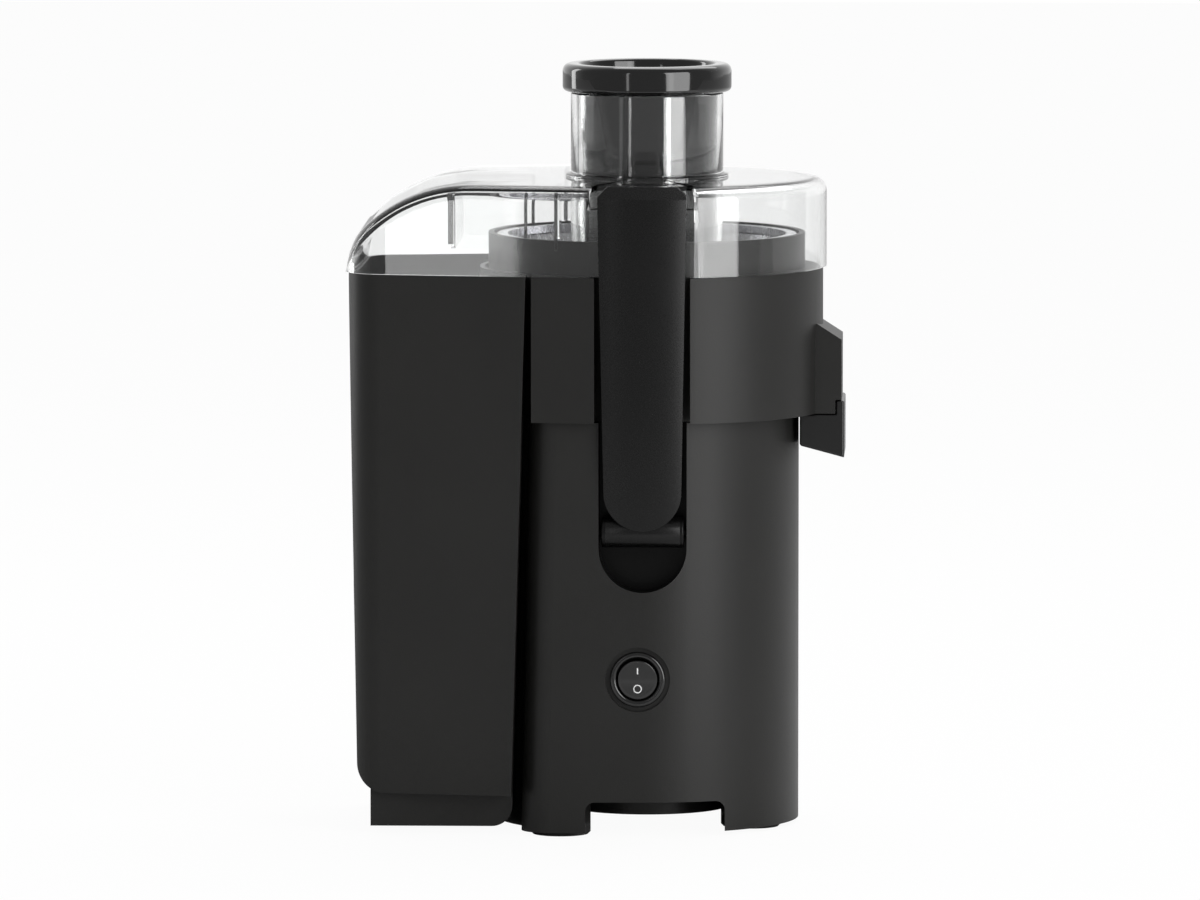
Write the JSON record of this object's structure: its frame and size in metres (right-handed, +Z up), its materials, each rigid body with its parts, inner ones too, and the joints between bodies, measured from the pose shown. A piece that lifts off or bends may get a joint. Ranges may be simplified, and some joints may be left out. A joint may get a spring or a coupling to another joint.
{
  "type": "centrifugal juicer",
  "caption": "Black countertop centrifugal juicer with clear lid, feed chute and pusher, hinged latch arms, front spout, side pulp bin and rocker switch.",
  "frame": {"origin": "middle of the footprint, on the table", "axes": "+Z up, +X towards the juice spout, -Y towards the side with the switch"},
  "size_m": [0.2068, 0.15, 0.318],
  "materials": {
    "housing": "fine satin grain, black",
    "bowl": "fine satin grain, black",
    "nozzle": "smooth dark",
    "bin": "fine satin grain, black",
    "latch": "satin black",
    "clear": "clear polished",
    "pusher": "gloss black",
    "switch": "gloss black with white marks",
    "rubber": "matte",
    "lamination": "stacked sheet",
    "copper": "enamelled wire",
    "bracket": "pressed",
    "steel": "ground",
    "carbon": "matte dark",
    "fan": "moulded",
    "sieve_steel": "stainless"
  },
  "bodies": {
    "base": {"base_housing": "housing", "bottom_cover": "housing", "foot_front_near": "rubber", "foot_front_far": "rubber", "foot_rear_near": "rubber", "foot_rear_far": "rubber", "motor_stator": "lamination", "field_coil_near": "copper", "field_coil_far": "copper", "motor_upper_bracket": "bracket", "motor_lower_bracket": "bracket", "upper_bearing": "steel", "lower_bearing": "steel", "brush_front": "carbon", "brush_rear": "carbon", "shaft_seal": "rubber", "cord_gland": "rubber", "interlock_near": "carbon", "interlock_far": "carbon", "latch_pin_near": "steel", "latch_pin_far": "steel", "switch_bezel": "switch"},
    "rotor": {"motor_shaft": "steel", "armature_core": "lamination", "winding_upper": "copper", "winding_lower": "copper", "commutator": "copper", "cooling_fan": "fan", "drive_coupling": "fan"},
    "basket": {"grater_disc": "sieve_steel", "sieve": "sieve_steel", "basket_rim": "sieve_steel", "basket_hub": "fan"},
    "bowl": {"juice_bowl": "bowl", "spout_nozzle": "nozzle"},
    "lid": {"lid": "clear"},
    "pusher": {"food_pusher": "pusher"},
    "latch_near": {"latch_arm_near": "latch"},
    "latch_far": {"latch_arm_far": "latch"},
    "rocker": {"rocker_button": "switch"},
    "bin": {"pulp_bin": "bin"}
  },
  "joints": [
    {"name": "lid_lift", "type": "slide", "parent": "base", "child": "lid", "axis": [0, 0, 1], "range_m": [0, 0.12]},
    {"name": "latch_near_swing", "type": "hinge", "parent": "base", "child": "latch_near", "pos_m": [0.0206, -0.058, 0.127], "axis": [1, 0, 0], "range_deg": [0, 75]},
    {"name": "latch_far_swing", "type": "hinge", "parent": "base", "child": "latch_far", "pos_m": [0.0206, 0.058, 0.127], "axis": [-1, 0, 0], "range_deg": [0, 75]},
    {"name": "bowl_lift", "type": "slide", "parent": "base", "child": "bowl", "axis": [0, 0, 1], "range_m": [0, 0.035]},
    {"name": "motor_spin", "type": "hinge", "parent": "base", "child": "rotor", "pos_m": [0.0206, 0, 0.1], "axis": [0, 0, 1], "continuous": true},
    {"name": "basket_lift", "type": "slide", "parent": "rotor", "child": "basket", "axis": [0, 0, 1], "range_m": [0, 0.07]},
    {"name": "pusher_lift", "type": "slide", "parent": "lid", "child": "pusher", "axis": [0, 0, 1], "range_m": [0, 0.085]},
    {"name": "bin_slide", "type": "slide", "parent": "base", "child": "bin", "axis": [-1, 0, 0], "range_m": [0, 0.09]},
    {"name": "rocker_rock", "type": "hinge", "parent": "base", "child": "rocker", "pos_m": [0.0186, -0.0623, 0.066], "axis": [-1, 0, 0], "range_deg": [0, 10]}
  ],
  "couplings": [
    {"joint": "latch_near_swing", "follows": "lid_lift", "rad_per_m": 10.908},
    {"joint": "latch_far_swing", "follows": "lid_lift", "rad_per_m": 10.908},
    {"joint": "basket_lift", "follows": "lid_lift", "ratio": 0.58333},
    {"joint": "bowl_lift", "follows": "lid_lift", "ratio": 0.29166}
  ]
}
